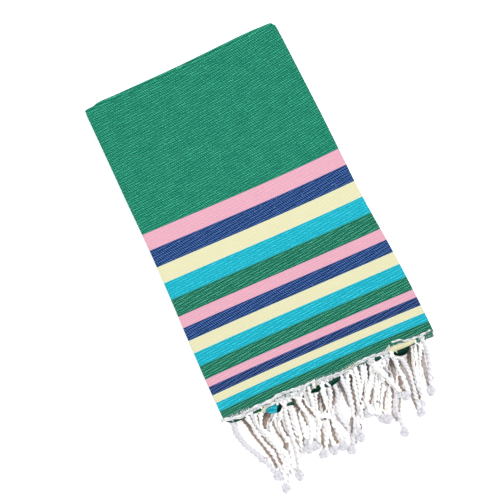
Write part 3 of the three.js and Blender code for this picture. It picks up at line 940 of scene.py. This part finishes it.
def resample(points, step):
    """A smooth course through points, at even steps."""
    padded = np.concatenate([[2 * points[0] - points[1]], points, [2 * points[-1] - points[-2]]])
    fine = []
    for i in range(len(points) - 1):
        p0, p1, p2, p3 = padded[i : i + 4]
        square = 2 * p0 - 5 * p1 + 4 * p2 - p3
        cube = 3 * p1 - p0 - 3 * p2 + p3
        for t in np.arange(0, 1, 0.1):
            fine.append(0.5 * (2 * p1 + (p2 - p0) * t + square * t**2 + cube * t**3))
    fine.append(points[-1])
    fine = np.array(fine)
    run = run_along(fine)
    count = max(3, int(round(run[-1] / step)) + 1)
    at = np.linspace(0, run[-1], count)
    return np.stack([np.interp(at, run, fine[:, k]) for k in range(fine.shape[1])], axis=-1)


GROOVE_PLACES = np.concatenate([resample(places, 1.0) for _, places in GROOVES])


class Pile:
    """Heights of what already lies at the near edge, so that each strand rests on the ones before it."""

    X0, Y0, X1, Y1 = -160, -330, 160, -150
    CELL = 1.0
    FALL = 34.0  # a strand comes down from its root within this length
    FREE, BARE = 7, 4  # along its first lengths it doesn't rest on others, nor others on it

    def __init__(self):
        shape = (self.X1 - self.X0) / self.CELL, (self.Y1 - self.Y0) / self.CELL
        self.height = np.zeros([int(count) for count in shape])

    def cells(self, x, y, reach):
        i, j = (x - self.X0) / self.CELL, (y - self.Y0) / self.CELL
        r = int(math.ceil(reach / self.CELL))
        a, b = max(0, int(i) - r), min(self.height.shape[0], int(i) + r + 2)
        c, d = max(0, int(j) - r), min(self.height.shape[1], int(j) + r + 2)
        gx, gy = np.meshgrid(np.arange(a, b), np.arange(c, d), indexing="ij")
        away = np.hypot(gx - i, gy - j) * self.CELL
        return slice(a, b), slice(c, d), away

    def under(self, x, y, radius):
        """How high a round thing of that radius has to lie there."""
        a, b, away = self.cells(x, y, radius)
        lift = np.sqrt(np.clip(radius**2 - away**2, 0, None))
        return float(np.max(np.where(away < radius, self.height[a, b] + lift, 0)))

    def stamp(self, x, y, z, radius):
        a, b, away = self.cells(x, y, radius)
        top = z + np.sqrt(np.clip(radius**2 - away**2, 0, None))
        here = self.height[a, b]
        self.height[a, b] = np.where(away < radius, np.maximum(here, top), here)

    def lay(self, flat_path, root, radius):
        """Heights for a course on the floor: it falls from its root and rests on what is there."""
        run = run_along(flat_path)
        free = root * (1 - smooth(run / self.FALL))
        rest = np.array([self.under(x, y, radius) for x, y in flat_path])
        rest[run < self.FREE] = 0
        z = np.maximum(free, rest)
        for _ in range(6):
            soft = z.copy()
            soft[1:-1] = (z[:-2] + 2 * z[1:-1] + z[2:]) / 4
            z = np.maximum(soft, rest)
            z[0] = root
        for (x, y), h, s in zip(flat_path, z, run):
            if s > self.BARE:
                self.stamp(x, y, h, radius)
        return np.column_stack([flat_path, z])


def knot_path(centre, turn):
    """A tight overhand knot, as one closed loop round itself."""
    t = np.linspace(0, 2 * np.pi, 34)
    x = (np.sin(t) + 2 * np.sin(2 * t)) * KNOT_SIZE
    y = (np.cos(t) - 2 * np.cos(2 * t)) * KNOT_SIZE
    z = -1.3 * np.sin(3 * t) * KNOT_SIZE
    c, s = math.cos(turn), math.sin(turn)
    return centre + np.stack([x * c - y * s, x * s + y * c, z * 0.8], axis=-1)


def beside_grooves(flat_path, radius):
    """Moves and thins a course so that it leaves the grooves open; gives the radius at each place."""
    tangent = tangents(flat_path)
    left = np.column_stack([-tangent[:, 1], tangent[:, 0]])
    away = GROOVE_PLACES[None, :, :2] - flat_path[:, None, :]
    along = np.abs((away * tangent[:, None, :]).sum(axis=2))
    aside = (away * left[:, None, :]).sum(axis=2)
    near = along < 1.3
    half = GROOVE_PLACES[None, :, 2] / 2 - GROOVE_COVER
    free = []
    for side in (1, -1):
        room = np.where(near & (aside * side > 0), aside * side - half, radius)
        room = np.pad(np.clip(room.min(axis=1), -1.5, radius), 2, mode="edge")
        free.append(np.convolve(room, [0.1, 0.2, 0.4, 0.2, 0.1], mode="valid"))
    moved = flat_path + left * ((free[0] - free[1]) / 2)[:, None]
    return moved, np.maximum((free[0] + free[1]) / 2, THINNEST)


def add_strand(threads, pile, points, height, tone, knot, rng, radius=RADIUS, grooves=False):
    flat_path = resample(points, STEP)
    places = np.arange(len(flat_path))
    grow = smooth(places * STEP / ROOT_LENGTH)
    uneven = 1 + UNEVEN * np.sin(places * UNEVEN_TURN + rng.uniform(0, 6))
    r = radius * mix(ROOT_SHARE, 1, grow) * uneven
    if grooves:
        flat_path, room = beside_grooves(flat_path, radius)
        r = np.minimum(r, room)
    path = pile.lay(flat_path, height, radius * NEST)
    path[:, 2] = np.maximum(path[:, 2], r)
    threads.tube(path, r, 10, WAIST, rng.uniform(*TWIST_LENGTH), rng.uniform(0, 6), tone)
    end = path[-1]
    direction = end - path[-3]
    direction[2] = 0
    direction /= np.linalg.norm(direction) + 1e-9
    if knot:
        centre = end + direction * KNOT_AHEAD
        centre[2] = np.clip(pile.under(centre[0], centre[1], KNOT_REST), *KNOT_HEIGHTS)
        loop = knot_path(centre, rng.uniform(0, 6))
        threads.tube(loop, KNOT_THREAD, 10, 0.95, 6.0, 0.0, KNOT_TONE)
        pile.stamp(*centre, KNOT_STAMP)
        start = centre + direction * PAST_KNOT
        spread, reach = KNOTTED_SPREAD, KNOTTED_REACH
    else:
        start = end - direction
        spread, reach = OPEN_SPREAD, OPEN_REACH
    heading = math.atan2(direction[1], direction[0])
    t = np.linspace(0, 1, 4)
    for _ in range(LOOSE_ENDS):
        a = heading + rng.uniform(-spread, spread)
        length = rng.uniform(*reach)
        bend = rng.uniform(-0.35, 0.35)
        x = start[0] + np.cos(a + bend * t) * length * t
        y = start[1] + np.sin(a + bend * t) * length * t
        z = np.maximum(mix(start[2], rng.uniform(0.8, 2.5), t), 0.65)
        threads.tube(np.column_stack([x, y, z]), LOOSE_RADII, 4, tone=tone * 0.8)
    return path


def add_fan(threads, path, edge, height, rng, tone, width):
    """Warp ends that leave the cut end side by side and gather into a strand."""
    meet = path[min(6, len(path) - 1)]
    t = np.linspace(0, 1, 6)
    for k in range(FAN_ENDS):
        x0 = path[0][0] + mix(-width, width, (k + 0.5) / FAN_ENDS) + rng.uniform(-0.4, 0.4)
        y0 = edge(x0) + 1.2
        end = meet + np.array([rng.uniform(-1, 1), rng.uniform(-0.6, 0.6), rng.uniform(-0.6, 0.6)])
        x = mix(x0, end[0], smooth(t))
        y = mix(y0, end[1], t)
        z = mix(height, end[2], smooth(t)) + 0.5 * np.sin(np.pi * t)
        away = np.hypot(GROOVE_PLACES[:, 0] - x[3], GROOVE_PLACES[:, 1] - y[3])
        if (away - GROOVE_PLACES[:, 2] / 2).min() >= 0.3:
            threads.tube(np.column_stack([x, y, z]), mix(0.55, 0.9, t), 5, tone=tone)


def rooted(points, edge):
    """A course that starts just inside the cut end of its ply."""
    x0 = points[0][0]
    return np.concatenate([[[x0, edge(x0) - 1.0]], points[1:]])


def add_beside(threads, pile, points, side, run, ply, look, rng):
    """A strand that follows a course that shows, a little aside and partly under it."""
    shares, least, aside, radius, tones, fan = look
    keep = max(least, int(round(len(points) * rng.uniform(*shares))))
    edge = cut_end(run, ply)
    course = rooted(points[:keep] + [side * rng.uniform(*aside), 0], edge)
    height = root_height(run, ply, course[0][0])
    path = add_strand(threads, pile, course, height, tones[0], 0, rng, radius)
    add_fan(threads, path, edge, height, rng, tones[1], fan)


def add_groove_shade(threads, pile, tone, places, rng):
    """A dark strand of the lower fringe along a groove, its ends under its neighbours: painted shade in the
    gap between the upper strands.
    """
    course = resample(places, STEP)
    ends = [2 * course[0] - course[2], 2 * course[-1] - course[-3]]
    course = np.concatenate([[ends[0]], course, [ends[1]]])
    radius = np.clip(course[:, 2] / 2 + GROOVE_SPARE, *GROOVE_RADII)
    path = pile.lay(course[:, :2], GROOVE_ROOT, GROOVE_REST)
    path[:, 2] = np.maximum(path[:, 2] - GROOVE_SINK, radius)
    threads.tube(path, radius, 8, 0.7, 11.0, rng.uniform(0, 6), tone)


def add_yarn(threads, points, aside, tone, rng):
    """A loose weft yarn on the cut end."""
    flat_path = resample(points, 1.5)
    aside = aside + rng.uniform(-0.3, 0.3)
    turns = np.arange(len(flat_path)) * rng.uniform(0.5, 1.1) + rng.uniform(0, 6)
    flat_path[:, 1] += aside + YARN_WOBBLE * np.sin(turns)
    top = np.array([lift_at(x, y) for x, y in flat_path]) * TOP_PLY_FACE
    drop = YARN_DROP * smooth((DROP_FROM - flat_path[:, 1]) / DROP_LENGTH)
    path = np.column_stack([flat_path, top + YARN_HEIGHT + rng.uniform(0, 0.5) - drop])
    threads.tube(path, rng.uniform(*YARN_RADII), 5, 0.85, 4.0, rng.uniform(0, 6), tone)


def add_stray_end(threads, rng):
    """A single warp end that stands out into the weave."""
    x = rng.uniform(*STRAY_SPAN)
    y = cut_end(RUNS - 1, 0)(x)
    top = TOP_PLY_FACE * lift_at(x, y) + 0.3
    lean = rng.uniform(-0.8, 0.8)
    length = rng.uniform(1.0, 3.4)
    t = np.linspace(0, 1, 4)
    path = np.column_stack([x + lean * t, y - 1.5 + (1.5 + length) * t, top + 0.3 * np.sin(np.pi * t)])
    threads.tube(path, STRAY_RADII, 4, tone=0.75)


def build_fringes(material):
    rng = np.random.default_rng(7)
    pile = Pile()
    lower, upper = Threads(), Threads()
    top = RUNS - 1
    strands = sorted(STRANDS, key=lambda strand: strand[0])
    courses = [points for _, _, _, points in strands]
    sides = (-1, 1)
    for i in range(LOWER_STRANDS):
        points = courses[(i * 7) % len(courses)]
        add_beside(lower, pile, points, sides[i % 2], 0, i % PLIES, LOWER_LOOK, rng)
    # dark strands along the grooves, painted shade between the upper strands
    for tone, places in GROOVES:
        add_groove_shade(lower, pile, tone, places, rng)
    # from the hidden plies of the topmost run
    for i in range(HIDDEN_STRANDS):
        points = courses[(i * 5 + 2) % len(courses)]
        add_beside(upper, pile, points, sides[i % 2], top, 1 + i % 3, HIDDEN_LOOK, rng)
    for order, tone, knot, points in strands:
        ply = 0 if order else 1
        edge = cut_end(top, ply)
        height = root_height(top, ply, points[0][0])
        path = add_strand(upper, pile, rooted(points, edge), height, tone, knot, rng, grooves=True)
        add_fan(upper, path, edge, height, rng, *SHOWN_FAN)
    for count, width, tone, points in YARNS:
        for k in range(int(count)):
            add_yarn(upper, points, mix(-width, width, (k + 0.5) / count), tone, rng)
    for _ in range(STRAY_ENDS):
        add_stray_end(upper, rng)
    return lower.build("towel_fringe_lower", material), upper.build("towel_fringe_upper", material)


# Camera, light and floor


def set_up_view():
    scene = bpy.context.scene
    camera = bpy.data.cameras.new("camera")
    camera.sensor_width = SENSOR
    camera.lens = SENSOR * CAMERA_AWAY / FRAME_WIDTH
    camera.clip_end = 50
    scene.camera = add_to_scene("camera", camera)
    scene.camera.location = (CAMERA_SPOT[0] * MM, CAMERA_SPOT[1] * MM, TOP_HEIGHT + CAMERA_AWAY)
    scene.camera.rotation_euler = (0, 0, CAMERA_TURN)
    scene.view_settings.view_transform = "Standard"

    scene.world = bpy.data.worlds.new("soft_room")
    scene.world.use_nodes = True
    background = scene.world.node_tree.nodes["Background"]
    background.inputs["Color"].default_value = (1, 1, 1, 1)
    background.inputs["Strength"].default_value = 1.0

    sun = bpy.data.lights.new("key", "SUN")
    sun.energy = LIGHT_STRENGTH
    sun.angle = LIGHT_SPREAD
    key = add_to_scene("key", sun)
    right = np.array([math.cos(CAMERA_TURN), math.sin(CAMERA_TURN)])
    up = np.array([-math.sin(CAMERA_TURN), math.cos(CAMERA_TURN)])
    flat = (right * LIGHT_FROM[0] + up * LIGHT_FROM[1]) * math.sin(LIGHT_TILT)
    key.rotation_mode = "QUATERNION"
    key.rotation_quaternion = Vector((flat[0], flat[1], math.cos(LIGHT_TILT))).to_track_quat("Z", "Y")

    mesh = bpy.data.meshes.new("floor")
    corners = [(FLOOR_HALF * a, FLOOR_HALF * b, 0) for a, b in ((-1, -1), (1, -1), (1, 1), (-1, 1))]
    mesh.from_pydata(corners, [], [(0, 1, 2, 3)])
    mesh.materials.append(floor_material())
    floor = add_to_scene("floor", mesh)


set_up_view()
cloth = build_cloth(cloth_material)
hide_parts("cloth")
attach(cloth, "root")
lower_fringe, upper_fringe = build_fringes(fringe_material())
for fringe, node in ((lower_fringe, "lower_fringe"), (upper_fringe, "upper_fringe")):
    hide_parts(node)
    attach(fringe, "root")
